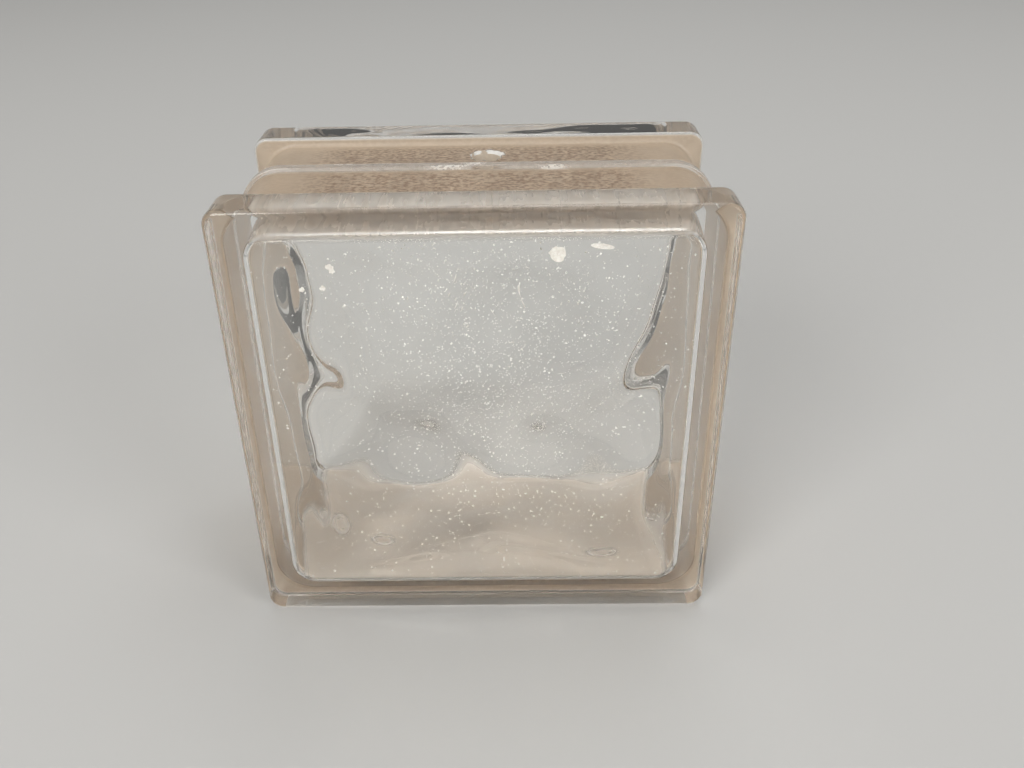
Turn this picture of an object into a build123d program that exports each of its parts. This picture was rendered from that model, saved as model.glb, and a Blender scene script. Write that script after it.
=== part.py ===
from build123d import *
import os
from math import atan, cos, degrees, pi, radians

# Hollow glass block, one fused piece. Millimetres, +Z up, front panel towards -Y.
# The origin is the middle of the underside, on the two lips that the block stands on.

# Outside of the block
block_width = 196.85
block_height = 196.85
block_depth = 98.4

# Lip round each face, standing proud of the mortar channel between them
lip_depth = 17.6
lip_proud = 3.9
lip_corner_radius = 6.5
lip_face_rounding = 2.5
lip_back_rounding = 1.6
lip_root_rounding = 1.8

# Channel, rising a little to the fused seam half way between the faces
channel_rise = 1.1
channel_corner_radius = 17.0

# Fused seam, a flat bead round the middle of the channel
seam_width = 4.4
seam_proud = 1.5
seam_edge_rounding = 0.7

# Glass left round the hollow
panel_thickness = 7.2
side_wall = 7.6
hollow_draft = 1.5
hollow_corner_radius = 13.0
hollow_rounding = 4.0

# Waves pressed into the inner side of each panel, as thickness added or taken away.
# Each has its height, its length across and up the panel, and the degrees it has turned at the middle.
row_height = 1.95
row_across = 270.0
row_across_start = 357.0
row_up = 75.0
row_up_start = 57.0
pillow_height = 1.40
pillow_across = 90.5
pillow_across_start = 337.0
pillow_up = 112.0
pillow_up_start = 226.0
bow_height = 2.65
bow_across = 220.0
bow_across_start = 328.0
bow_up = 1660.0
bow_up_start = 111.0
rib_height = 0.45
rib_across = 31.5
rib_across_start = 315.0
rib_up = 128.5
rib_up_start = 286.0
dimple_height = 0.30
dimple_across = 43.5
dimple_across_start = 51.0
dimple_up = 74.5
dimple_up_start = 171.0
pucker_height = 0.25
pucker_across = 51.0
pucker_across_start = 10.0
pucker_up = 35.5
pucker_up_start = 276.0
wave_margin = 14.0
wave_samples = 41

# Hole drilled down through the top edge, behind the seam
hole_diameter = 12.7
hole_across = 3.8
hole_behind_seam = 15.5

# How far one solid runs into the next where they are joined
join = 3.0


def rounded_square(shrink, corner_radius):
    """Outline of the block seen from the front, drawn in by shrink on every side."""
    width = block_width - 2 * shrink
    height = block_height - 2 * shrink
    return RectangleRounded(width, height, corner_radius)


def front_plane(forward):
    """Plane parallel to the faces, forward of the seam, looking out of the front."""
    return Plane(origin=(0, -forward, block_height / 2), x_dir=(1, 0, 0), z_dir=(0, -1, 0))


def edges_near_y(shape, y):
    """Edges that lie wholly in the plane at this y."""
    return shape.edges().filter_by_position(Axis.Y, y - 0.01, y + 0.01)


def lip():
    """Thick rim of one face, with its rounded edges."""
    back = block_depth / 2 - lip_depth
    slab = extrude(front_plane(back) * rounded_square(0, lip_corner_radius), lip_depth)
    slab = fillet(edges_near_y(slab, -block_depth / 2), lip_face_rounding)
    return fillet(edges_near_y(slab, -back), lip_back_rounding)


def channel_block():
    """Half of the channel's body, tapering from the seam to the back of the lip."""
    shrink_at_seam = lip_proud - channel_rise
    length = block_depth / 2 - lip_depth
    taper = degrees(atan(channel_rise / length))
    outline = front_plane(0) * rounded_square(shrink_at_seam, channel_corner_radius)
    return extrude(outline, length + join, taper=taper)


def seam_half():
    """Half of the fused bead."""
    shrink = lip_proud - channel_rise - seam_proud
    outline = front_plane(0) * rounded_square(shrink, channel_corner_radius + seam_proud)
    bead = extrude(outline, seam_width / 2)
    return fillet(edges_near_y(bead, -seam_width / 2), seam_edge_rounding)


def inside_of_channel(edge):
    """True for an edge of the lip's root, not of its outer rim."""
    box = edge.bounding_box()
    clear_across = block_width / 2 - max(box.max.X, -box.min.X)
    clear_up = min(block_height - box.max.Z, box.min.Z)
    return min(clear_across, clear_up) > lip_proud / 2


def swell(x, across, across_start, up, upward, up_start):
    """Rise and fall of one wave at this place, between minus one and one."""
    return cos(2 * pi * x / across + radians(across_start)) * cos(2 * pi * up / upward + radians(up_start))


def wave(x, z):
    """Glass added to the panel at this place, fading out towards the side walls."""
    up = z - block_height / 2
    added = row_height * swell(x, row_across, row_across_start, up, row_up, row_up_start)
    added += pillow_height * swell(x, pillow_across, pillow_across_start, up, pillow_up, pillow_up_start)
    added += bow_height * swell(x, bow_across, bow_across_start, up, bow_up, bow_up_start)
    added += rib_height * swell(x, rib_across, rib_across_start, up, rib_up, rib_up_start)
    added += dimple_height * swell(x, dimple_across, dimple_across_start, up, dimple_up, dimple_up_start)
    added += pucker_height * swell(x, pucker_across, pucker_across_start, up, pucker_up, pucker_up_start)
    border = lip_proud + side_wall + hollow_rounding
    return added * fade(block_width / 2 - border - abs(x)) * fade(block_height / 2 - border - abs(up))


def fade(inward):
    """One over most of the panel, falling smoothly to nothing at the hollow's rounded border."""
    share = min(max(inward / wave_margin, 0), 1)
    return share * share * (3 - 2 * share)


def wavy_face():
    """Inner side of the front panel as one smooth surface through points worked out by the formula."""
    inner = block_depth / 2 - panel_thickness
    rows = []
    for i in range(wave_samples):
        x = block_width * (i / (wave_samples - 1) - 0.5)
        row = []
        for j in range(wave_samples):
            z = block_height * j / (wave_samples - 1)
            row.append(Vector(x, -inner + wave(x, z), z))
        rows.append(row)
    return Face.make_surface_from_array_of_points(rows, tol=0.01, min_deg=3, max_deg=5)


def hollow_half():
    """Half of the hollow: drafted walls, a wavy end and a rounded border between them."""
    inner = block_depth / 2 - panel_thickness
    shrink = lip_proud + side_wall - hollow_draft
    taper = degrees(atan(hollow_draft / inner))
    outline = front_plane(0) * rounded_square(shrink, hollow_corner_radius)
    walls = extrude(outline, block_depth / 2, taper=taper)
    space = extrude(wavy_face(), block_depth, dir=(0, 1, 0))
    hollow = walls & space
    border = hollow.faces().filter_by(GeomType.BSPLINE).sort_by(SortBy.AREA)[-1].edges()
    return fillet(border, hollow_rounding)


def half():
    """One pressed half, from the seam forward."""
    outside = lip() + channel_block()
    step = edges_near_y(outside, lip_depth - block_depth / 2)
    root = [edge for edge in step if inside_of_channel(edge)]
    outside = fillet(root, lip_root_rounding)
    outside += seam_half()
    return outside - hollow_half()


def drilled_hole():
    """Straight hole through the middle of the top wall, long enough to clear both sides."""
    middle = block_height - lip_proud - side_wall / 2
    return Location((hole_across, hole_behind_seam, middle)) * Cylinder(hole_diameter / 2, side_wall + 4 * join)


def glass_block():
    """Both halves come from one mould, so the rear one is the front one turned half round."""
    front = half()
    rear = front.rotate(Axis.Z, 180)
    return front + rear - drilled_hole()


os.makedirs("parts", exist_ok=True)
block = glass_block()
print("solids", len(block.solids()), "volume", round(block.volume), "valid", block.is_valid)
export_step(block, "parts/glass_block.step")
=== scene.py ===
import math
import bpy
import numpy as np
from mathutils import Matrix, Vector


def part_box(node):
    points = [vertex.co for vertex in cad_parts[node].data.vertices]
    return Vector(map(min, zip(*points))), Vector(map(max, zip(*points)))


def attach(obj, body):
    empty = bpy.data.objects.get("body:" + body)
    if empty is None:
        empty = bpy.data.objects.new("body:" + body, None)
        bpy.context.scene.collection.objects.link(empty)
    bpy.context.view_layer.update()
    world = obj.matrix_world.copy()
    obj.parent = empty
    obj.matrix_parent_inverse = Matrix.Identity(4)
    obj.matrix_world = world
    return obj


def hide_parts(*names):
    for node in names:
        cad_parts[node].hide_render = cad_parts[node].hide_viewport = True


# Hollow glass block with wavy panels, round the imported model, in metres. Front panel towards -Y.

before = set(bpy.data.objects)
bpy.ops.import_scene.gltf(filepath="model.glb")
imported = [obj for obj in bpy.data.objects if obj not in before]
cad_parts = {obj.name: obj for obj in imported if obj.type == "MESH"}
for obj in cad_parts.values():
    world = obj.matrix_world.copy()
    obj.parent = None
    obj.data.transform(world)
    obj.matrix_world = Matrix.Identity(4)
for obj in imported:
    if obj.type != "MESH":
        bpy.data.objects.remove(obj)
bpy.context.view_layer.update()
mm = 0.001

low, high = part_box("glass_block")
blockWide = high[0] - low[0]
blockDeep = high[1] - low[1]
blockHigh = high[2] - low[2]
middleUp = (low[2] + high[2]) / 2

scene = bpy.context.scene
scene.view_settings.view_transform = "Standard"


# Outside and hollow, each a stack of rounded squares from front to back, closed at both ends

shell = {
    "lipDepth": 17.6 * mm,
    "lipProud": 3.9 * mm,
    "lipCorner": 6.5 * mm,
    "faceRounding": 2.5 * mm,
    "backRounding": 1.6 * mm,
    "rootRounding": 1.8 * mm,
    "channelRise": 1.1 * mm,
    "channelCorner": 17.0 * mm,
    "seamWidth": 4.4 * mm,
    "seamProud": 1.5 * mm,
    "seamRounding": 0.7 * mm,
    "panelThickness": 7.2 * mm,
    "sideWall": 7.6 * mm,
    "hollowDraft": 1.5 * mm,
    "hollowCorner": 13.0 * mm,
    "hollowRounding": 4.0 * mm,
    "edgeKeep": 0.3 * mm,     # narrow strip that keeps a flat side flat up to its rounding
    "stepsPerSide": 120,
    "stepsPerCorner": 16,
    "faceSteps": 6,
    "backSteps": 5,
    "rootSteps": 6,
    "channelSteps": 11,
    "seamSteps": 5,
    "hollowSteps": 9,
    "wallShares": (0.8, 0.6, 0.4, 0.2, 0),   # places along the hollow's wall, from the seam
}


def ring(inset, corner, y):
    # one rounded square, drawn in from the block's outline, starting half way round a corner
    steps = shell["stepsPerSide"]
    arc = shell["stepsPerCorner"] // 2
    straight = steps - 2 * arc
    points = []
    for turn in range(4):
        along, out = blockWide / 2 - inset, blockHigh / 2 - inset
        if turn % 2:
            along, out = out, along
        bend = [math.pi * (0.75 - 0.25 * i / arc) for i in range(2 * arc + 1)]
        left, right, up = corner - along, along - corner, out - corner
        side = [(left + corner * math.cos(a), up + corner * math.sin(a)) for a in bend[:arc]]
        side += [((2 * i / straight - 1) * right, out) for i in range(straight)]
        side += [(right + corner * math.cos(a), up + corner * math.sin(a)) for a in bend[arc:-1]]
        facing = turn * math.pi / 2
        for a, o in side:
            x = a * math.cos(facing) + o * math.sin(facing)
            z = a * math.sin(facing) - o * math.cos(facing)
            points.append((x, y, middleUp + z))
    return np.array(points)


def quarter(steps):
    return [math.pi / 2 * i / steps for i in range(steps + 1)]


def outerRings():
    # inset, corner radius and distance from the seam, from the front face back to the seam
    s = shell
    half = blockDeep / 2
    back = half - s["lipDepth"]
    keep = s["edgeKeep"]
    rings = [(s["faceRounding"] + keep, s["lipCorner"] - s["faceRounding"], half)]
    for turn in quarter(s["faceSteps"]):
        inset = s["faceRounding"] * (1 - math.sin(turn))
        rings.append((inset, s["lipCorner"] - inset, half - s["faceRounding"] * (1 - math.cos(turn))))
    start, end = half - s["faceRounding"], back + s["backRounding"]
    for y in (start - keep, (2 * start + end) / 3, (start + 2 * end) / 3, end + keep):
        rings.append((0, s["lipCorner"], y))
    for turn in quarter(s["backSteps"]):
        inset = s["backRounding"] * (1 - math.cos(turn))
        rings.append((inset, s["lipCorner"] - inset, back + s["backRounding"] * (1 - math.sin(turn))))
    rootCorner = s["channelCorner"] - s["channelRise"]
    for turn in quarter(s["rootSteps"]):
        out = s["rootRounding"] * (1 - math.sin(turn))
        y = back - s["rootRounding"] * (1 - math.cos(turn))
        rings.append((s["lipProud"] - out, rootCorner + out, y))
    start, end = back - s["rootRounding"], s["seamWidth"] / 2
    steps = s["channelSteps"]
    places = [start - keep] + [start + (end - start) * i / steps for i in range(1, steps)] + [end + keep, end]
    for y in places:
        rise = s["channelRise"] * (1 - y / back)
        rings.append((s["lipProud"] - rise, rootCorner + rise, y))
    foot = s["lipProud"] - s["channelRise"]
    for turn in quarter(s["seamSteps"]):
        proud = s["seamProud"] - s["seamRounding"] * (1 - math.sin(turn))
        y = end - s["seamRounding"] * (1 - math.cos(turn))
        rings.append((foot - proud, s["channelCorner"] + proud, y))
    top = foot - s["seamProud"]
    rings.append((top, s["channelCorner"] + s["seamProud"], end / 4))
    return [ring(i, c, -y) for i, c, y in rings] + [ring(i, c, y) for i, c, y in reversed(rings)]


def hollowRings():
    s = shell
    panel = blockDeep / 2 - s["panelThickness"]
    wall = s["lipProud"] + s["sideWall"]
    corner = s["hollowCorner"] - s["hollowDraft"]
    rounding = s["hollowRounding"]
    keep = s["edgeKeep"]
    rings = [(wall + rounding + keep, corner - rounding, panel)]
    for turn in quarter(s["hollowSteps"]):
        inset = rounding * (1 - math.sin(turn))
        rings.append((wall + inset, corner - inset, panel - rounding * (1 - math.cos(turn))))
    straight = panel - rounding
    for share in (1 - keep / straight, *s["wallShares"]):
        draft = s["hollowDraft"] * (1 - share)
        rings.append((wall - draft, corner + draft, straight * share))
    return [ring(i, c, -y) for i, c, y in rings] + [ring(i, c, y) for i, c, y in reversed(rings[:-1])]


def gridInside(border):
    # inner points of a grid that closes a ring, blended from its four sides
    n = shell["stepsPerSide"]
    bottom, right = border[: n + 1], border[n : 2 * n + 1]
    top = border[2 * n : 3 * n + 1][::-1]
    left = np.vstack([border[3 * n :], border[:1]])[::-1]
    share = np.arange(1, n) / n
    u, v = np.meshgrid(share, share)
    u, v = u[..., None], v[..., None]
    sides = (1 - v) * bottom[None, 1:n] + v * top[None, 1:n]
    sides = sides + (1 - u) * left[1:n, None] + u * right[1:n, None]
    corners = (1 - u) * (1 - v) * bottom[0] + u * (1 - v) * bottom[n]
    corners = corners + (1 - u) * v * top[0] + u * v * top[n]
    return (sides - corners).reshape(-1, 3)


def gridFaces(ringStart, innerStart):
    n = shell["stepsPerSide"]

    def at(i, j):
        if j == 0:
            return ringStart + i
        if i == n:
            return ringStart + n + j
        if j == n:
            return ringStart + 3 * n - i
        if i == 0:
            return ringStart + (4 * n - j) % (4 * n)
        return innerStart + (j - 1) * (n - 1) + i - 1

    return [(at(i, j), at(i + 1, j), at(i + 1, j + 1), at(i, j + 1)) for j in range(n) for i in range(n)]


def skin(rings, wavy):
    # a closed skin facing outwards, its ends plain or filled with a grid for the waves
    around = 4 * shell["stepsPerSide"]
    points = np.vstack(rings)
    faces = []
    for r in range(len(rings) - 1):
        for i in range(around):
            a, b = r * around + i, r * around + (i + 1) % around
            faces.append((a, a + around, b + around, b))
    last = (len(rings) - 1) * around
    marked = np.zeros(len(points))
    if not wavy:
        faces.append(tuple(range(around)))
        faces.append(tuple(range(last + around - 1, last - 1, -1)))
        return points, faces, marked
    for start, turned in ((0, False), (last, True)):
        ends = gridFaces(start, len(points))
        inner = gridInside(rings[-1] if turned else rings[0])
        points = np.vstack([points, inner])
        marked = np.append(marked, np.ones(len(inner)))
        faces += [face[::-1] for face in ends] if turned else ends
    return points, faces, marked


def linked(name, mesh):
    piece = bpy.data.objects.new(name, mesh)
    scene.collection.objects.link(piece)
    return piece


def setAttribute(mesh, name, values, domain="POINT"):
    layer = mesh.attributes.get(name) or mesh.attributes.new(name, "FLOAT", domain)
    layer.data.foreach_set("value", np.asarray(values, dtype=np.float32))


def pointPlaces(mesh):
    places = np.empty(len(mesh.vertices) * 3)
    mesh.vertices.foreach_get("co", places)
    return places.reshape(-1, 3)


def plainShell():
    outer, outerFaces, outerMarks = skin(outerRings(), False)
    inner, innerFaces, innerMarks = skin(hollowRings(), True)
    faces = outerFaces + [tuple(i + len(outer) for i in face[::-1]) for face in innerFaces]
    mesh = bpy.data.meshes.new("glassBlock")
    mesh.from_pydata(np.vstack([outer, inner]).tolist(), [], faces)
    mesh.shade_smooth()
    setAttribute(mesh, "wavy", np.append(outerMarks, innerMarks))
    setAttribute(mesh, "inside", np.append(np.zeros(len(outer)), np.ones(len(inner))))
    print("plain shell:", len(mesh.vertices), "points", len(mesh.polygons), "faces")
    return linked("glassBlock", mesh)


# Short calls for node trees

def addNode(tree, kind, **settings):
    made = tree.nodes.new(kind)
    for name, value in settings.items():
        setattr(made, name, value)
    return made


def feed(tree, socket, value):
    if isinstance(value, bpy.types.NodeSocket):
        tree.links.new(value, socket)
    else:
        socket.default_value = value


def calculate(tree, operation, *values):
    made = addNode(tree, "ShaderNodeMath", operation=operation)
    for socket, value in zip(made.inputs, values):
        feed(tree, socket, value)
    return made.outputs[0]


def newTree(name, values):
    # a geometry tree with one named input for each size, and the sockets' identifiers
    tree = bpy.data.node_groups.new(name, "GeometryNodeTree")
    tree.interface.new_socket("Geometry", in_out="OUTPUT", socket_type="NodeSocketGeometry")
    tree.interface.new_socket("Geometry", in_out="INPUT", socket_type="NodeSocketGeometry")
    kinds = {float: "NodeSocketFloat", int: "NodeSocketInt"}
    keys = {}
    for label, value in values.items():
        socket = tree.interface.new_socket(label, in_out="INPUT", socket_type=kinds[type(value)])
        keys[label] = socket.identifier
    return tree, keys, addNode(tree, "NodeGroupInput").outputs


def endTree(tree, geometry, material):
    real = addNode(tree, "GeometryNodeRealizeInstances")
    feed(tree, real.inputs[0], geometry)
    paint = addNode(tree, "GeometryNodeSetMaterial")
    feed(tree, paint.inputs["Geometry"], real.outputs[0])
    feed(tree, paint.inputs["Material"], material)
    feed(tree, addNode(tree, "NodeGroupOutput").inputs[0], paint.outputs[0])


def settle(piece):
    # what the modifiers make becomes the piece's own plain mesh
    graph = bpy.context.evaluated_depsgraph_get()
    made = bpy.data.meshes.new_from_object(piece.evaluated_get(graph), depsgraph=graph)
    piece.modifiers.clear()
    piece.data = made
    return piece


def grow(piece, tree, keys, values):
    modifier = piece.modifiers.new(tree.name, "NODES")
    modifier.node_group = tree
    for label, value in values.items():
        modifier[keys[label]] = value
    return settle(piece)


# Waves pressed into the inner side of both panels

waveNames = ("Row", "Pillow", "Bow", "Rib", "Dimple", "Pucker")
waves = {
    "Row Height": 1.95 * mm,
    "Row Length Across": 270.0 * mm,
    "Row Length Up": 75.0 * mm,
    "Row Start Across": math.radians(357),
    "Row Start Up": math.radians(57),
    "Pillow Height": 1.40 * mm,
    "Pillow Length Across": 90.5 * mm,
    "Pillow Length Up": 112.0 * mm,
    "Pillow Start Across": math.radians(337),
    "Pillow Start Up": math.radians(226),
    "Bow Height": 2.65 * mm,
    "Bow Length Across": 220.0 * mm,
    "Bow Length Up": 1660.0 * mm,
    "Bow Start Across": math.radians(328),
    "Bow Start Up": math.radians(111),
    "Rib Height": 0.45 * mm,
    "Rib Length Across": 31.5 * mm,
    "Rib Length Up": 128.5 * mm,
    "Rib Start Across": math.radians(315),
    "Rib Start Up": math.radians(286),
    "Dimple Height": 0.30 * mm,
    "Dimple Length Across": 43.5 * mm,
    "Dimple Length Up": 74.5 * mm,
    "Dimple Start Across": math.radians(51),
    "Dimple Start Up": math.radians(171),
    "Pucker Height": 0.25 * mm,
    "Pucker Length Across": 51.0 * mm,
    "Pucker Length Up": 35.5 * mm,
    "Pucker Start Across": math.radians(10),
    "Pucker Start Up": math.radians(276),
    "Margin": 14.0 * mm,
}


def pressWaves(piece, glass):
    flat = shell["lipProud"] + shell["sideWall"] + shell["hollowRounding"]
    values = dict(waves)
    values["Half Wide"] = blockWide / 2 - flat
    values["Half High"] = blockHigh / 2 - flat
    values["Middle Up"] = middleUp
    tree, keys, given = newTree("pressedWaves", values)
    place = addNode(tree, "ShaderNodeSeparateXYZ")
    feed(tree, place.inputs[0], addNode(tree, "GeometryNodeInputPosition").outputs[0])
    # the rear panel comes from the same mould as the front one, turned half round
    side = calculate(tree, "MULTIPLY", calculate(tree, "SIGN", place.outputs["Y"]), -1.0)
    across = calculate(tree, "MULTIPLY", place.outputs["X"], side)
    up = calculate(tree, "SUBTRACT", place.outputs["Z"], given["Middle Up"])

    def ripple(distance, length, start):
        turns = calculate(tree, "DIVIDE", distance, given[length])
        return calculate(tree, "COSINE", calculate(tree, "MULTIPLY_ADD", turns, 2 * math.pi, given[start]))

    def swell(name):
        shape = calculate(
            tree, "MULTIPLY",
            ripple(across, name + " Length Across", name + " Start Across"),
            ripple(up, name + " Length Up", name + " Start Up"),
        )
        return calculate(tree, "MULTIPLY", shape, given[name + " Height"])

    def fade(distance, half):
        inward = calculate(tree, "SUBTRACT", given[half], calculate(tree, "ABSOLUTE", distance))
        smooth = addNode(tree, "ShaderNodeMapRange", interpolation_type="SMOOTHSTEP")
        feed(tree, smooth.inputs["Value"], inward)
        feed(tree, smooth.inputs["From Max"], given["Margin"])
        return smooth.outputs[0]

    added = swell(waveNames[0])
    for name in waveNames[1:]:
        added = calculate(tree, "ADD", added, swell(name))
    added = calculate(tree, "MULTIPLY", added, fade(across, "Half Wide"))
    added = calculate(tree, "MULTIPLY", added, fade(up, "Half High"))
    marked = addNode(tree, "GeometryNodeInputNamedAttribute", data_type="FLOAT")
    feed(tree, marked.inputs["Name"], "wavy")
    added = calculate(tree, "MULTIPLY", added, marked.outputs["Attribute"])
    shift = addNode(tree, "ShaderNodeCombineXYZ")
    feed(tree, shift.inputs["Y"], calculate(tree, "MULTIPLY", added, side))
    move = addNode(tree, "GeometryNodeSetPosition")
    feed(tree, move.inputs["Geometry"], given["Geometry"])
    feed(tree, move.inputs["Offset"], shift.outputs[0])
    endTree(tree, move.outputs[0], glass)
    grow(piece, tree, keys, values)
    print("waves pressed")
    return piece


# Seam where the two halves were fused, never quite straight

fusedSeam = {
    "Wander": 0.40 * mm,
    "Swell": 0.09 * mm,
    "Wander Length": 30.0 * mm,
    "Swell Length": 9.0 * mm,
    "Spread": 4.0 * mm,
    "Half Wide": shell["seamWidth"] / 2,
    "Seed": 5,
    "Seed Shift": 7.0,     # from the wander's seed to the swell's
}


def bendSeam(piece, glass):
    tree, keys, given = newTree("fusedSeam", fusedSeam)
    place = addNode(tree, "GeometryNodeInputPosition").outputs[0]
    apart = addNode(tree, "ShaderNodeSeparateXYZ")
    feed(tree, apart.inputs[0], place)
    inside = addNode(tree, "GeometryNodeInputNamedAttribute", data_type="FLOAT")
    feed(tree, inside.inputs["Name"], "inside")
    near = addNode(tree, "ShaderNodeMapRange", interpolation_type="SMOOTHSTEP")
    feed(tree, near.inputs["Value"], calculate(tree, "ABSOLUTE", apart.outputs["Y"]))
    feed(tree, near.inputs["From Min"], calculate(tree, "ADD", given["Half Wide"], given["Spread"]))
    feed(tree, near.inputs["From Max"], given["Half Wide"])
    # nothing on the hollow's side moves
    hidden = calculate(tree, "MULTIPLY", inside.outputs["Attribute"], 2.0)
    weight = calculate(tree, "MAXIMUM", calculate(tree, "SUBTRACT", near.outputs[0], hidden), 0.0)

    def drift(length, height, shift):
        noise = addNode(tree, "ShaderNodeTexNoise", noise_dimensions="4D")
        feed(tree, noise.inputs["Vector"], place)
        feed(tree, noise.inputs["W"], calculate(tree, "ADD", given["Seed"], shift))
        feed(tree, noise.inputs["Scale"], calculate(tree, "DIVIDE", 1.0, given[length]))
        around = calculate(tree, "MULTIPLY", calculate(tree, "SUBTRACT", noise.outputs[0], 0.5), 2.0)
        return calculate(tree, "MULTIPLY", calculate(tree, "MULTIPLY", around, given[height]), weight)

    sideways = addNode(tree, "ShaderNodeCombineXYZ")
    feed(tree, sideways.inputs["Y"], drift("Wander Length", "Wander", 0.0))
    outwards = addNode(tree, "ShaderNodeVectorMath", operation="SCALE")
    feed(tree, outwards.inputs[0], addNode(tree, "GeometryNodeInputNormal").outputs[0])
    feed(tree, outwards.inputs["Scale"], drift("Swell Length", "Swell", given["Seed Shift"]))
    both = addNode(tree, "ShaderNodeVectorMath", operation="ADD")
    feed(tree, both.inputs[0], sideways.outputs[0])
    feed(tree, both.inputs[1], outwards.outputs[0])
    move = addNode(tree, "GeometryNodeSetPosition")
    feed(tree, move.inputs["Geometry"], given["Geometry"])
    feed(tree, move.inputs["Offset"], both.outputs[0])
    endTree(tree, move.outputs[0], glass)
    grow(piece, tree, keys, fusedSeam)
    print("seam bent")
    return piece


# Glass and its finishes, one material for each

noiseSpread = (0.35, 0.65)     # the values between which most of a noise lies

glassLook = {
    "tint": (1.0, 0.999, 0.988),           # what a passage through a surface leaves of the light
    "ior": 1.52,
    "pressedHeight": 0.04 * mm,
    "pressedSize": 34 * mm,
}

coatLook = {
    # thin milky coat of the mortar channel; its tan and its dark brown grains are partly the coat's own
    # colour and partly painted shade
    "colour": (0.60, 0.47, 0.34),
    "cover": 0.52,                         # share of the light that the coat scatters
    "rough": 0.40,
    "cloudSize": 11 * mm,
    # dark brown of the grains, partly their own tone and partly painted shade
    "grainAndShadeColour": (0.26, 0.17, 0.11),
    "grainCover": 0.42,
    "grainHeight": 0.30 * mm,
    "grainSize": 1.2 * mm,
    "grainStretch": (0.6, 1.15, 1.0),
    "grainSpread": (0.42, 0.60),           # noise values from a full grain to none
    "cloudy": (0.9, 1.08),                 # least and most of the coat in its clouds
    "streakSize": 2.4 * mm,
    "streakStretch": (1.0, 0.05, 1.0),
    "streaky": (-0.25, 0.2),               # what the streaks take from the coat or add to it
    "scuffColour": (0.90, 0.86, 0.80),
    "scuffCover": 0.38,
    "scuffHeight": 0.25 * mm,
    "scuffSpread": (0.40, 0.55),
    "leastScuff": 0.35,
    "scuffRough": 0.6,
    "leastClear": 0.08,
}

groundLook = {
    # glass left rough by the drill, and the brighter broken rims
    "colour": (0.66, 0.54, 0.41),
    "chipColour": (0.95, 0.94, 0.91),
    "cover": 0.40,
    "chipCover": 0.62,
    "rough": 0.45,
    "height": 0.35 * mm,
    "size": 1.1 * mm,
    "gritty": (0.7, 1.3),
}

mistLook = {
    # thin film of powder on the hollow's floor and ceiling and in the smudges
    "colour": (0.78, 0.70, 0.61),
    "cover": 0.70,
    "rough": 0.35,
    "size": 22 * mm,
    "cloudy": (0.8, 1.0),
    "streakSize": 2.6 * mm,
    "streakStretch": (1.0, 0.06, 1.0),
    "streaky": (-0.12, 0.04),
}


def noiseOf(tree, size, detail=2.0, stretch=None):
    # an even noise in Object coordinates whose lumps are about this size in metres
    where = addNode(tree, "ShaderNodeTexCoord").outputs["Object"]
    if stretch:
        turned = addNode(tree, "ShaderNodeMapping")
        feed(tree, turned.inputs["Vector"], where)
        feed(tree, turned.inputs["Scale"], stretch)
        where = turned.outputs[0]
    noise = addNode(tree, "ShaderNodeTexNoise")
    feed(tree, noise.inputs["Vector"], where)
    feed(tree, noise.inputs["Scale"], 1 / size)
    feed(tree, noise.inputs["Detail"], detail)
    return noise.outputs[0]


def attributeOf(tree, name):
    return addNode(tree, "ShaderNodeAttribute", attribute_name=name).outputs["Fac"]


def ranged(tree, value, given, wanted):
    made = addNode(tree, "ShaderNodeMapRange")
    labels = ("Value", "From Min", "From Max", "To Min", "To Max")
    for label, item in zip(labels, (value, *given, *wanted)):
        feed(tree, made.inputs[label], item)
    return made.outputs[0]


def mixed(tree, share, first, second):
    made = addNode(tree, "ShaderNodeMix", data_type="RGBA")
    feed(tree, made.inputs["Factor"], share)
    feed(tree, made.inputs["A"], first)
    feed(tree, made.inputs["B"], second)
    return made.outputs["Result"]


def newGlass(name):
    material = bpy.data.materials.new(name)
    material.use_nodes = True
    tree = material.node_tree
    shader = tree.nodes["Principled BSDF"]
    shader.inputs["IOR"].default_value = glassLook["ior"]
    shader.inputs["Base Color"].default_value = (*glassLook["tint"], 1)
    shader.inputs["Roughness"].default_value = 0
    shader.inputs["Transmission Weight"].default_value = 1
    return material, tree, shader.inputs


def raised(tree, sockets, height):
    bump = addNode(tree, "ShaderNodeBump")
    feed(tree, bump.inputs["Height"], height)
    feed(tree, bump.inputs["Distance"], 1.0)
    feed(tree, sockets["Normal"], bump.outputs[0])


def pressedGlass():
    material, tree, sockets = newGlass("pressedGlass")
    lumps = noiseOf(tree, glassLook["pressedSize"], 0.0)
    raised(tree, sockets, calculate(tree, "MULTIPLY", lumps, glassLook["pressedHeight"]))
    return material


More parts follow.
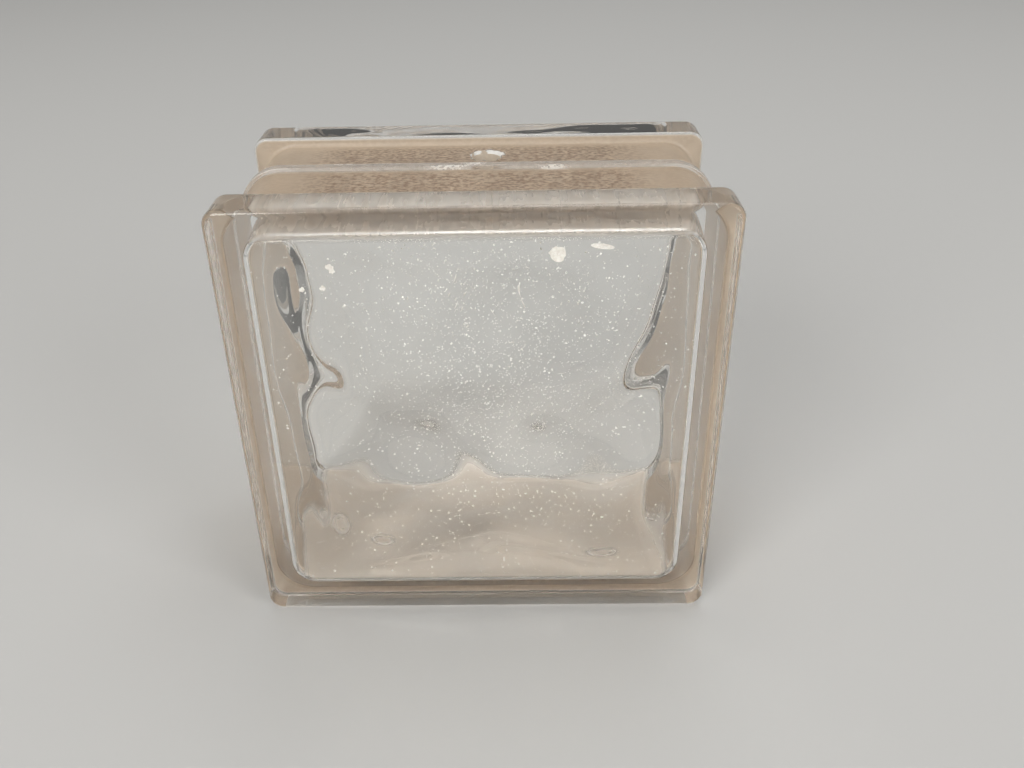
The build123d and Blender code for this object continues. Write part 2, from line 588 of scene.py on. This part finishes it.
def mortarCoat():
    # grainy on the top and the underside, streaked from front to back and a little cloudy; the tan and the
    # dark grains are partly painted shade
    c = coatLook
    material, tree, sockets = newGlass("mortarCoat")
    frosted, stippled, scuffed = (attributeOf(tree, name) for name in ("frosted", "stippled", "scuffed"))

    def times(a, b):
        return calculate(tree, "MULTIPLY", a, b)

    grain = noiseOf(tree, c["grainSize"], stretch=c["grainStretch"])
    dark = times(ranged(tree, grain, c["grainSpread"], (1.0, 0.0)), stippled)
    cloudy = ranged(tree, noiseOf(tree, c["cloudSize"]), noiseSpread, c["cloudy"])
    streaks = noiseOf(tree, c["streakSize"], stretch=c["streakStretch"])
    streaks = ranged(tree, streaks, noiseSpread, c["streaky"])
    streaks = calculate(tree, "MULTIPLY_ADD", streaks, stippled, 1.0)
    coat = times(times(times(frosted, c["cover"]), cloudy), streaks)
    coat = calculate(tree, "MULTIPLY_ADD", dark, c["grainCover"], coat)
    scratched = times(scuffed, ranged(tree, grain, c["scuffSpread"], (c["leastScuff"], 1.0)))
    white = calculate(tree, "MULTIPLY_ADD", scratched, c["scuffCover"], coat)
    clear = calculate(tree, "MAXIMUM", calculate(tree, "SUBTRACT", 1.0, white), c["leastClear"])
    feed(tree, sockets["Transmission Weight"], clear)
    # the coat's tan and the grains' dark brown are partly painted shade
    colour = mixed(tree, frosted, (*glassLook["tint"], 1), (*c["colour"], 1))
    colour = mixed(tree, dark, colour, (*c["grainAndShadeColour"], 1))
    feed(tree, sockets["Base Color"], mixed(tree, scratched, colour, (*c["scuffColour"], 1)))
    rough = times(times(frosted, c["rough"]), cloudy)
    feed(tree, sockets["Roughness"], calculate(tree, "MAXIMUM", rough, times(scratched, c["scuffRough"])))
    depth = calculate(tree, "MULTIPLY_ADD", scuffed, c["scuffHeight"], times(stippled, c["grainHeight"]))
    raised(tree, sockets, times(grain, depth))
    return material


def groundGlass():
    g = groundLook
    material, tree, sockets = newGlass("groundGlass")
    grit = noiseOf(tree, g["size"], 3.0)
    chipped = attributeOf(tree, "chipped")
    white = calculate(tree, "MULTIPLY_ADD", chipped, g["chipCover"] - g["cover"], g["cover"])
    white = calculate(tree, "MULTIPLY", white, ranged(tree, grit, noiseSpread, g["gritty"]))
    feed(tree, sockets["Transmission Weight"], calculate(tree, "SUBTRACT", 1.0, white))
    feed(tree, sockets["Base Color"], mixed(tree, chipped, (*g["colour"], 1), (*g["chipColour"], 1)))
    sockets["Roughness"].default_value = g["rough"]
    raised(tree, sockets, calculate(tree, "MULTIPLY", grit, g["height"]))
    return material


def mistedGlass():
    m = mistLook
    material, tree, sockets = newGlass("mistedGlass")
    powder = ranged(tree, noiseOf(tree, m["size"], 4.0), noiseSpread, m["cloudy"])
    streaks = noiseOf(tree, m["streakSize"], stretch=m["streakStretch"])
    streaks = ranged(tree, streaks, noiseSpread, m["streaky"])
    streaks = calculate(tree, "MULTIPLY_ADD", streaks, attributeOf(tree, "streaked"), 1.0)
    film = calculate(tree, "MULTIPLY", powder, streaks)
    film = calculate(tree, "MULTIPLY", attributeOf(tree, "dusty"), film)
    feed(tree, sockets["Transmission Weight"], calculate(tree, "MULTIPLY_ADD", film, -m["cover"], 1.0))
    feed(tree, sockets["Base Color"], mixed(tree, film, (*glassLook["tint"], 1), (*m["colour"], 1)))
    feed(tree, sockets["Roughness"], calculate(tree, "MULTIPLY", film, m["rough"]))
    return material


wear = {
    "scuffs": (
        # across, behind the seam's middle, half length, half width, on the seam and the channel's top
        (-1.2 * mm, 0.6 * mm, 4.2 * mm, 2.0 * mm),
        (-10.5 * mm, -1.9 * mm, 8.0 * mm, 0.5 * mm),
        (31.0 * mm, -2.2 * mm, 5.0 * mm, 0.4 * mm),
        (-55.0 * mm, 2.0 * mm, 7.0 * mm, 0.7 * mm),
    ),
    "smudges": (
        # across, up, half length, half height, on the inner side of the front panel
        (-44.0 * mm, 38.5 * mm, 4.5 * mm, 2.6 * mm),
        (-62.0 * mm, 47.0 * mm, 3.5 * mm, 5.5 * mm),
        (52.0 * mm, 30.0 * mm, 6.0 * mm, 2.2 * mm),
    ),
    "seamCover": 0.55,     # share of the coat that is left on the seam
    "sideGrain": 0.05,     # how grainy the coat is on the two upright sides
    "ceilingFilm": 0.90,   # how much of the floor's film the hollow's ceiling has
    "edgeFade": 0.4 * mm,          # width over which the coat ends at the lips and at the seam
    "seamBeyond": 0.5 * mm,
    "grainFromCorners": 26 * mm,   # the grain gathers in the middle of a side and of each half
    "grainCornerFade": 16 * mm,
    "grainFromEdges": 3 * mm,
    "grainEdgeFade": 4 * mm,
    "leastGrain": 0.12,
    "filmReach": 4 * mm,           # how far the film climbs the hollow's walls
    "filmFade": 3 * mm,
    "frontFrom": 30 * mm,          # in front of this is the front panel's inner side
    "topReach": 6 * mm,            # how far down from the lips' top the scuffs can be
}


def patch(first, second, middle, half, softness=0.35):
    # one inside an ellipse, falling to nothing a little outside it
    far = np.hypot((first - middle[0]) / half[0], (second - middle[1]) / half[1])
    return np.clip((1 + softness - far) / (2 * softness), 0, 1)


def rising(value, fade):
    # none below nought, all from the end of the fade on
    return np.clip(value / fade, 0, 1)


def finishZones(mesh):
    # how frosted, stippled, dusty or scuffed each part of the surface is
    s, w = shell, wear
    places = pointPlaces(mesh)
    x, y, z = places[:, 0], np.abs(places[:, 1]), places[:, 2] - middleUp
    inside = np.empty(len(places), dtype=np.float32)
    mesh.attributes["inside"].data.foreach_get("value", inside)
    outside = 1 - inside
    back = blockDeep / 2 - s["lipDepth"]
    channel = outside * rising(back + w["edgeFade"] - y, w["edgeFade"])
    seam = channel * rising(s["seamWidth"] / 2 + w["seamBeyond"] - y, w["edgeFade"])
    setAttribute(mesh, "frosted", channel * (1 - (1 - w["seamCover"]) * seam))
    along = np.minimum(np.abs(x), np.abs(z))
    gathered = rising(blockWide / 2 - w["grainFromCorners"] - along, w["grainCornerFade"])
    gathered *= rising(back - w["grainFromEdges"] - y, w["grainEdgeFade"])
    gathered *= rising(y - w["grainFromEdges"], w["grainEdgeFade"])
    side = np.where(np.abs(z) > np.abs(x), 1, w["sideGrain"])
    grainy = w["leastGrain"] + (1 - w["leastGrain"]) * gathered
    setAttribute(mesh, "stippled", side * channel * grainy * (1 - seam))
    floorUp = s["lipProud"] + s["sideWall"] + w["filmReach"] - blockHigh / 2
    dusty = inside * rising(floorUp - z, w["filmFade"])
    ceiling = inside * rising(z + floorUp, w["filmFade"])
    setAttribute(mesh, "streaked", ceiling)
    dusty = np.maximum(dusty, w["ceilingFilm"] * ceiling)
    front = inside * (places[:, 1] < -w["frontFrom"])
    for across, up, wide, tall in w["smudges"]:
        dusty = np.maximum(dusty, front * patch(x, places[:, 2], (across, up), (wide, tall)))
    setAttribute(mesh, "dusty", dusty)
    onTop = outside * (z > blockHigh / 2 - w["topReach"])
    scuffed = np.zeros(len(places))
    for across, behind, wide, deep in w["scuffs"]:
        scuffed = np.maximum(scuffed, onTop * patch(x, places[:, 1], (across, behind), (wide, deep)))
    setAttribute(mesh, "scuffed", scuffed)
    print("finish zones:", int((channel > 0.5).sum()), "channel points,", int((scuffed > 0).sum()), "scuffed")


def mostOnFaces(mesh, name):
    values = np.empty(len(mesh.vertices), dtype=np.float32)
    mesh.attributes[name].data.foreach_get("value", values)
    corners = np.empty(len(mesh.loops), dtype=np.int32)
    mesh.loops.foreach_get("vertex_index", corners)
    starts = np.empty(len(mesh.polygons), dtype=np.int32)
    mesh.polygons.foreach_get("loop_start", starts)
    return np.maximum.reduceat(values[corners], starts)


def layFinishes(mesh, glass, coat, ground, mist):
    # each face gets the one finish that it shows
    drilled = np.empty(len(mesh.polygons), dtype=np.float32)
    mesh.attributes["ground"].data.foreach_get("value", drilled)
    chosen = np.where(mostOnFaces(mesh, "dusty") > 0, 3, 0)
    chosen = np.where(mostOnFaces(mesh, "frosted") > 0, 1, chosen)
    chosen = np.where(drilled > 0.5, 2, chosen)
    mesh.materials.clear()
    for material in (glass, coat, ground, mist):
        mesh.materials.append(material)
    mesh.polygons.foreach_set("material_index", chosen.astype(np.int32))
    print("finishes:", np.bincount(chosen, minlength=4).tolist(), "faces of each")


# Hole drilled down through the top edge, with the chips that the drill broke from its rims

hole = {
    "radius": 6.35 * mm,
    "across": 3.8 * mm,
    "behindSeam": 15.5 * mm,
    "steps": 96,
    "outerChip": 1.8 * mm,
    "innerChip": 2.0 * mm,
    "chipDepth": 1.5 * mm,
    "chipSteps": (0.1, 0.3, 0.6, 1.0),   # shares of that depth at which the chips have a ring
    "bites": 13,
    "biteHalf": (0.015, 0.07),           # half a bite's width, as a share of the rim
    "leastBite": 0.25,
    "grit": 0.06 * mm,
    "flare": 1.1,                        # the cutter is a little wider just clear of the glass
    "flareUp": 0.3 * mm,
    "cutterBeyond": 5 * mm,
    "zoneBeyond": 1 * mm,
    "leastFacing": 0.3,                  # how squarely a face in the hole has to face its axis
    "chippedBeyond": 0.15 * mm,
    "sharpFrom": math.radians(40),
    "seed": 11,
}


def chipWidths(random, most):
    # how far the rim is broken back, as a few shell-shaped bites of random width
    h = hole
    widths = np.zeros(h["steps"])
    angles = np.arange(h["steps"]) / h["steps"]
    for bite in range(h["bites"]):
        middle, half = random.random(), random.uniform(*h["biteHalf"])
        deep = most * random.uniform(h["leastBite"], 1)
        away = np.abs((angles - middle + 0.5) % 1 - 0.5) / half
        widths = np.maximum(widths, deep * np.sqrt(np.clip(1 - away ** 2, 0, 1)))
    return widths + h["grit"] * random.random(h["steps"])


def drillCutter():
    h = hole
    random = np.random.default_rng(h["seed"])
    back = blockDeep / 2 - shell["lipDepth"]
    top = high[2] - shell["lipProud"] + shell["channelRise"] * (1 - h["behindSeam"] / back)
    draft = shell["hollowDraft"] * h["behindSeam"] / (blockDeep / 2 - shell["panelThickness"])
    bottom = high[2] - shell["lipProud"] - shell["sideWall"] + shell["hollowDraft"] - draft
    outerBite = chipWidths(random, h["outerChip"])
    innerBite = chipWidths(random, h["innerChip"])
    # height of each ring, and how much of the outer and of the inner chips it has
    levels = [(top + h["cutterBeyond"], 1, 0), (top + h["flareUp"], h["flare"], 0)]
    levels += [(top - h["chipDepth"] * d, math.sqrt(1 - d), 0) for d in h["chipSteps"]]
    levels += [(bottom + h["chipDepth"] * d, 0, math.sqrt(1 - d)) for d in reversed(h["chipSteps"])]
    levels += [(bottom - h["flareUp"], 0, h["flare"]), (bottom - h["cutterBeyond"], 0, 1)]
    turn = 2 * math.pi * np.arange(h["steps"]) / h["steps"]
    points = []
    for z, outer, inner in levels:
        radius = h["radius"] + outer * outerBite + inner * innerBite
        x = h["across"] + radius * np.cos(turn)
        y = h["behindSeam"] + radius * np.sin(turn)
        points.append(np.column_stack([x, y, np.full(h["steps"], z)]))
    n = h["steps"]
    last = (len(levels) - 1) * n
    faces = [tuple(range(n)), tuple(range(last + n - 1, last - 1, -1))]
    for level in range(len(levels) - 1):
        for i in range(n):
            a, b = level * n + i, level * n + (i + 1) % n
            faces.append((a, a + n, b + n, b))
    mesh = bpy.data.meshes.new("drill")
    mesh.from_pydata(np.vstack(points).tolist(), [], faces)
    mesh.shade_smooth()
    return linked("drill", mesh)


def drill(piece):
    cutter = drillCutter()
    cut = piece.modifiers.new("hole", "BOOLEAN")
    cut.operation = "DIFFERENCE"
    cut.solver = "EXACT"
    cut.object = cutter
    before = len(piece.data.polygons)
    settle(piece)
    bpy.data.objects.remove(cutter)
    mesh = piece.data
    h = hole
    middle = Vector((h["across"], h["behindSeam"], 0))
    reach = h["radius"] + h["innerChip"] + h["zoneBeyond"]
    wall, chips = np.zeros(len(mesh.polygons)), np.zeros(len(mesh.polygons))
    for face in mesh.polygons:
        away = face.center - middle
        away.z = 0
        near = away.length < reach and face.center.z > middleUp
        if near and abs(face.normal.dot(away.normalized())) > h["leastFacing"]:
            wall[face.index] = 1
            chips[face.index] = away.length > h["radius"] + h["chippedBeyond"]
    setAttribute(mesh, "ground", wall, "FACE")
    setAttribute(mesh, "chipped", chips, "FACE")
    mesh.set_sharp_from_angle(angle=h["sharpFrom"])
    print("drilled:", before, "->", len(mesh.polygons), "faces,", int(wall.sum()), "in the hole")
    return piece


# Fine specks of dust on the inner sides, thickest in front of the middle

dust = {
    "Specks Per Square Metre": 3.6e5,
    "Middle Across": 9.0 * mm,
    "Middle Up": 135.0 * mm,
    "Spread Across": 52.0 * mm,
    "Spread Up": 62.0 * mm,
    "Share Anywhere": 0.06,
    "Share On Rear": 0.30,
    "Share On Floor": 0.14,
    "Smallest": 0.16 * mm,
    "Largest": 0.46 * mm,
    "Floor Up": 26.0 * mm,
    "Least Facing": 0.6,
    "Clearance": 0.02 * mm,   # kept from the glass, so that light leaves it before it meets a speck
    "Seed": 3,
}
speckCone = {"Vertices": 5, "Radius Top": 0.55, "Radius Bottom": 1.0, "Depth": 0.45}
speckStretch = {"X": (0.7, 1.5), "Y": (0.5, 1.1), "Z": (0.4, 1.0)}
sizeSkew = 3.0      # most specks are small
firstDraw = 21      # each random draw has the next number as its seed


def hollowSkin(block):
    mesh = block.data
    marks = np.empty(len(mesh.vertices), dtype=np.float32)
    mesh.attributes["inside"].data.foreach_get("value", marks)
    places = pointPlaces(mesh)
    keep = np.flatnonzero(marks > 0.5)
    renumber = np.full(len(places), -1)
    renumber[keep] = np.arange(len(keep))
    kept = [face.vertices for face in mesh.polygons if marks[face.vertices[0]] > 0.5]
    faces = [tuple(int(renumber[i]) for i in corners) for corners in kept]
    skinMesh = bpy.data.meshes.new("dustSpecks")
    skinMesh.from_pydata(places[keep].tolist(), [], faces)
    return linked("dustSpecks", skinMesh)


def scatterDust(block, material):
    piece = hollowSkin(block)
    tree, keys, given = newTree("dustSpecks", dust)
    apart = addNode(tree, "ShaderNodeSeparateXYZ")
    feed(tree, apart.inputs[0], addNode(tree, "GeometryNodeInputPosition").outputs[0])
    facing = addNode(tree, "ShaderNodeSeparateXYZ")
    feed(tree, facing.inputs[0], addNode(tree, "GeometryNodeInputNormal").outputs[0])

    def away(value, middle, spread):
        share = calculate(tree, "DIVIDE", calculate(tree, "SUBTRACT", value, given[middle]), given[spread])
        return calculate(tree, "MULTIPLY", share, share)

    far = calculate(
        tree, "ADD",
        away(apart.outputs["X"], "Middle Across", "Spread Across"),
        away(apart.outputs["Z"], "Middle Up", "Spread Up"),
    )
    cloud = calculate(tree, "EXPONENT", calculate(tree, "MULTIPLY", far, -1.0))
    cloud = calculate(tree, "ADD", cloud, given["Share Anywhere"])
    onRear = calculate(tree, "GREATER_THAN", apart.outputs["Y"], 0.0)
    share = addNode(tree, "ShaderNodeMix")
    feed(tree, share.inputs["Factor"], onRear)
    feed(tree, share.inputs["A"], 1.0)
    feed(tree, share.inputs["B"], given["Share On Rear"])

    def turnedTo(axis):
        along = calculate(tree, "ABSOLUTE", facing.outputs[axis])
        return calculate(tree, "GREATER_THAN", along, given["Least Facing"])

    panel = calculate(tree, "MULTIPLY", cloud, share.outputs["Result"])
    panel = calculate(tree, "MULTIPLY", panel, turnedTo("Y"))
    lowDown = calculate(tree, "LESS_THAN", apart.outputs["Z"], given["Floor Up"])
    floor = calculate(tree, "MULTIPLY", lowDown, turnedTo("Z"))
    floor = calculate(tree, "MULTIPLY", floor, given["Share On Floor"])
    density = calculate(tree, "ADD", panel, floor)
    density = calculate(tree, "MULTIPLY", density, given["Specks Per Square Metre"])
    spread = addNode(tree, "GeometryNodeDistributePointsOnFaces")
    feed(tree, spread.inputs["Mesh"], given["Geometry"])
    feed(tree, spread.inputs["Density"], density)
    feed(tree, spread.inputs["Seed"], given["Seed"])
    speck = addNode(tree, "GeometryNodeMeshCone")
    for label, value in speckCone.items():
        feed(tree, speck.inputs[label], value)

    def chance(lowest, highest, draw):
        drawn = addNode(tree, "FunctionNodeRandomValue", data_type="FLOAT")
        sockets = [socket for socket in drawn.inputs if socket.enabled and socket.name in ("Min", "Max")]
        feed(tree, sockets[0], lowest)
        feed(tree, sockets[1], highest)
        feed(tree, drawn.inputs["Seed"], firstDraw + draw)
        return [socket for socket in drawn.outputs if socket.enabled][0]

    skewed = calculate(tree, "POWER", chance(0.0, 1.0, 0), sizeSkew)
    spare = calculate(tree, "SUBTRACT", given["Largest"], given["Smallest"])
    size = calculate(tree, "MULTIPLY_ADD", skewed, spare, given["Smallest"])
    stretch = addNode(tree, "ShaderNodeCombineXYZ")
    for draw, (axis, limits) in enumerate(speckStretch.items(), 1):
        feed(tree, stretch.inputs[axis], calculate(tree, "MULTIPLY", size, chance(*limits, draw)))
    turn = addNode(tree, "ShaderNodeCombineXYZ")
    feed(tree, turn.inputs["Z"], chance(0.0, 2 * math.pi, len(speckStretch) + 1))
    turned = addNode(tree, "FunctionNodeRotateRotation", rotation_space="LOCAL")
    feed(tree, turned.inputs[0], spread.outputs["Rotation"])
    feed(tree, turned.inputs[1], turn.outputs[0])
    lift = addNode(tree, "ShaderNodeVectorMath", operation="SCALE")
    feed(tree, lift.inputs[0], spread.outputs["Normal"])
    feed(tree, lift.inputs["Scale"], given["Clearance"])
    lifted = addNode(tree, "GeometryNodeSetPosition")
    feed(tree, lifted.inputs["Geometry"], spread.outputs["Points"])
    feed(tree, lifted.inputs["Offset"], lift.outputs[0])
    placed = addNode(tree, "GeometryNodeInstanceOnPoints")
    feed(tree, placed.inputs["Points"], lifted.outputs[0])
    feed(tree, placed.inputs["Instance"], speck.outputs["Mesh"])
    feed(tree, placed.inputs["Rotation"], turned.outputs[0])
    feed(tree, placed.inputs["Scale"], stretch.outputs[0])
    endTree(tree, placed.outputs[0], material)
    grow(piece, tree, keys, dust)
    print("dust:", len(piece.data.polygons), "faces")
    return piece


# Torn dry flakes stuck to the inner side of the front panel

flakes = {
    "clearance": 0.05 * mm,
    "thickness": 0.26 * mm,
    "steps": 26,
    "tear": 0.5,                # spread of each step along a torn edge
    "radiusLimits": (0.55, 1.5),
    "levels": ((0.7, 0.97), (1.0, 0.82)),   # share of the thickness, and of the outline there
    "curl": 0.25,
    "seed": 8,
    "places": (
        # across, up, half length, half height, lean, raggedness
        (30.6 * mm, 177.5 * mm, 2.3 * mm, 3.2 * mm, math.radians(18), 0.30),
        (47.4 * mm, 178.9 * mm, 4.5 * mm, 1.1 * mm, math.radians(-8), 0.04),
        (-54.0 * mm, 170.6 * mm, 1.5 * mm, 1.9 * mm, math.radians(12), 0.32),
        (-58.0 * mm, 163.0 * mm, 1.0 * mm, 1.1 * mm, math.radians(-5), 0.25),
        (-66.0 * mm, 162.0 * mm, 1.1 * mm, 1.0 * mm, math.radians(30), 0.28),
    ),
}


def waveHeight(x, up):
    # the same rule as the wave tree, for pieces that lie on the front panel
    w = waves
    total = 0
    for name in waveNames:
        across = math.cos(2 * math.pi * x / w[name + " Length Across"] + w[name + " Start Across"])
        along = math.cos(2 * math.pi * up / w[name + " Length Up"] + w[name + " Start Up"])
        total += w[name + " Height"] * across * along
    flat = shell["lipProud"] + shell["sideWall"] + shell["hollowRounding"]
    for inward in (blockWide / 2 - flat - abs(x), blockHigh / 2 - flat - abs(up)):
        share = min(max(inward / w["Margin"], 0), 1)
        total *= share * share * (3 - 2 * share)
    return total


def stickFlakes(material):
    f = flakes
    steps = f["steps"]
    random = np.random.default_rng(f["seed"])
    panel = shell["panelThickness"] - blockDeep / 2
    points, faces = [], []
    levels = [(f["clearance"], 1.0)] + [(share * f["thickness"], shrink) for share, shrink in f["levels"]]
    for across, up, wide, tall, lean, ragged in f["places"]:
        radii = 1 + ragged * np.cumsum(random.normal(0, f["tear"], steps))
        radii = radii - np.linspace(0, radii[-1] - radii[0], steps)
        radii = np.clip(radii / radii.mean(), *f["radiusLimits"])
        first = len(points)
        for level, shrink in levels:
            for i in range(steps):
                a = 2 * math.pi * i / steps
                side, rise = radii[i] * wide * math.cos(a) * shrink, radii[i] * tall * math.sin(a) * shrink
                x = across + side * math.cos(lean) - rise * math.sin(lean)
                z = up + side * math.sin(lean) + rise * math.cos(lean)
                lift = level * (1 + f["curl"] * random.random() * (level > f["clearance"]))
                points.append((x, panel + waveHeight(x, z - middleUp) + lift, z))
        for level in range(len(f["levels"])):
            for i in range(steps):
                a, b = first + level * steps + i, first + level * steps + (i + 1) % steps
                faces.append((a, a + steps, b + steps, b))
        faces.append(tuple(range(first, first + steps)))
        faces.append(tuple(range(len(points) - 1, len(points) - 1 - steps, -1)))
    mesh = bpy.data.meshes.new("stuckFlakes")
    mesh.from_pydata(points, [], faces)
    mesh.materials.append(material)
    return linked("stuckFlakes", mesh)


# Dry powder of the specks and the flakes

powderLooks = {
    # the paler colour, the darker colour, and the size of the patches between them
    "dryDust": ((0.96, 0.95, 0.92), (0.90, 0.88, 0.84), 6 * mm),
    "dryFlake": ((0.95, 0.93, 0.89), (0.80, 0.76, 0.70), 1.2 * mm),
}
powderRough = 0.92


def powderMaterial(name):
    pale, dark, size = powderLooks[name]
    material = bpy.data.materials.new(name)
    material.use_nodes = True
    tree = material.node_tree
    shader = tree.nodes["Principled BSDF"]
    share = ranged(tree, noiseOf(tree, size, 4.0), noiseSpread, (0.0, 1.0))
    feed(tree, shader.inputs["Base Color"], mixed(tree, share, (*pale, 1), (*dark, 1)))
    feed(tree, shader.inputs["Roughness"], powderRough)
    return material


# Studio

studio = {
    "floorSize": 14.0,
    "floorColour": (0.55, 0.545, 0.53),
    "horizonColour": (0.56, 0.555, 0.54),
    "overheadColour": (0.32, 0.315, 0.30),
    "fillColour": (0.84, 0.84, 0.83),
    "fillStrength": 0.40,
    "floorRough": 0.7,
    "overheadFrom": 0.75,    # how steeply up the overhead colour is reached
}

lamps = {
    # place, width and height, power, colour
    "key": ((-1.5, -2.3, 1.9), (1.5, 1.5), 56, (1, 0.985, 0.96)),
    "fill": ((2.1, -1.8, 1.4), (1.3, 1.6), 27, (0.99, 0.99, 1)),
    "overhead": ((0.3, 0.6, 2.8), (1.8, 1.8), 25, (1, 1, 1)),
}


def buildFloor():
    half = studio["floorSize"] / 2
    corners = [(-half, -half, 0), (half, -half, 0), (half, half, 0), (-half, half, 0)]
    mesh = bpy.data.meshes.new("floor")
    mesh.from_pydata(corners, [], [(0, 1, 2, 3)])
    material = bpy.data.materials.new("paleFloor")
    material.use_nodes = True
    shader = material.node_tree.nodes["Principled BSDF"]
    shader.inputs["Base Color"].default_value = (*studio["floorColour"], 1)
    shader.inputs["Roughness"].default_value = studio["floorRough"]
    mesh.materials.append(material)
    linked("floor", mesh)


def softLamp(name):
    place, size, power, colour = lamps[name]
    aim = Vector((0, 0, middleUp))
    lamp = bpy.data.lights.new(name, "AREA")
    lamp.shape = "RECTANGLE"
    lamp.size, lamp.size_y = size
    lamp.energy = power
    lamp.color = colour
    item = linked(name, lamp)
    item.location = place
    item.rotation_euler = (aim - Vector(place)).to_track_quat("-Z", "Y").to_euler()


def buildLight():
    world = bpy.data.worlds.new("studio")
    world.use_nodes = True
    scene.world = world
    tree = world.node_tree
    seen = tree.nodes["Background"]
    direction = addNode(tree, "ShaderNodeSeparateXYZ")
    feed(tree, direction.inputs[0], addNode(tree, "ShaderNodeTexCoord").outputs["Generated"])
    climb = ranged(tree, direction.outputs["Z"], (0.0, studio["overheadFrom"]), (0.0, 1.0))
    tone = mixed(tree, climb, (*studio["horizonColour"], 1), (*studio["overheadColour"], 1))
    feed(tree, seen.inputs["Color"], tone)
    fill = addNode(tree, "ShaderNodeBackground")
    feed(tree, fill.inputs["Color"], (*studio["fillColour"], 1))
    feed(tree, fill.inputs["Strength"], studio["fillStrength"])
    path = addNode(tree, "ShaderNodeLightPath")
    direct = calculate(tree, "MAXIMUM", path.outputs["Is Camera Ray"], path.outputs["Is Glossy Ray"])
    direct = calculate(tree, "MAXIMUM", direct, path.outputs["Is Transmission Ray"])
    both = addNode(tree, "ShaderNodeMixShader")
    feed(tree, both.inputs[0], direct)
    feed(tree, both.inputs[1], fill.outputs[0])
    feed(tree, both.inputs[2], seen.outputs[0])
    feed(tree, tree.nodes["World Output"].inputs["Surface"], both.outputs[0])
    for name in lamps:
        softLamp(name)


# Camera, fitted to the block's outline in the photograph

photoView = {
    "place": (13.37 * mm, -351.8 * mm, 323.0 * mm),
    "focalPixels": 918.1,
    "wide": 1024,
    "high": 768,
    "centre": (497.6, 295.0),
    "turn": math.radians(-0.93),
    "down": math.radians(28.08),
    "roll": math.radians(-1.18),
    "sensor": 36,
    "nearest": 0.01,
}


def buildCamera():
    v = photoView
    data = bpy.data.cameras.new("camera")
    camera = linked("camera", data)
    data.sensor_width = v["sensor"]
    data.lens = v["focalPixels"] * data.sensor_width / v["wide"]
    data.shift_x = (v["wide"] / 2 - v["centre"][0]) / v["wide"]
    data.shift_y = (v["centre"][1] - v["high"] / 2) / v["wide"]
    data.clip_start = v["nearest"]
    ahead = Vector((math.sin(v["turn"]), math.cos(v["turn"]), 0)) * math.cos(v["down"])
    ahead.z = -math.sin(v["down"])
    right = Vector((math.cos(v["turn"]), -math.sin(v["turn"]), 0))
    upward = right.cross(ahead)
    rolledRight = right * math.cos(v["roll"]) + upward * math.sin(v["roll"])
    rolledUp = upward * math.cos(v["roll"]) - right * math.sin(v["roll"])
    turned = Matrix((rolledRight, rolledUp, -ahead)).transposed()
    camera.matrix_world = Matrix.Translation(Vector(v["place"])) @ turned.to_4x4()
    scene.camera = camera


glass = pressedGlass()
block = pressWaves(plainShell(), glass)
bendSeam(block, glass)
finishZones(block.data)
specks = scatterDust(block, powderMaterial("dryDust"))
stuck = stickFlakes(powderMaterial("dryFlake"))
drill(block)
layFinishes(block.data, glass, mortarCoat(), groundGlass(), mistedGlass())
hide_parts("glass_block")
for piece in (block, specks, stuck):
    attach(piece, "root")
buildFloor()
buildLight()
buildCamera()
# light passes through many surfaces before it leaves the block
scene.cycles.max_bounces = 20
scene.cycles.transmission_bounces = 20
scene.cycles.glossy_bounces = 10
scene.cycles.diffuse_bounces = 3
scene.cycles.blur_glossy = 0
scene.cycles.use_denoising = True
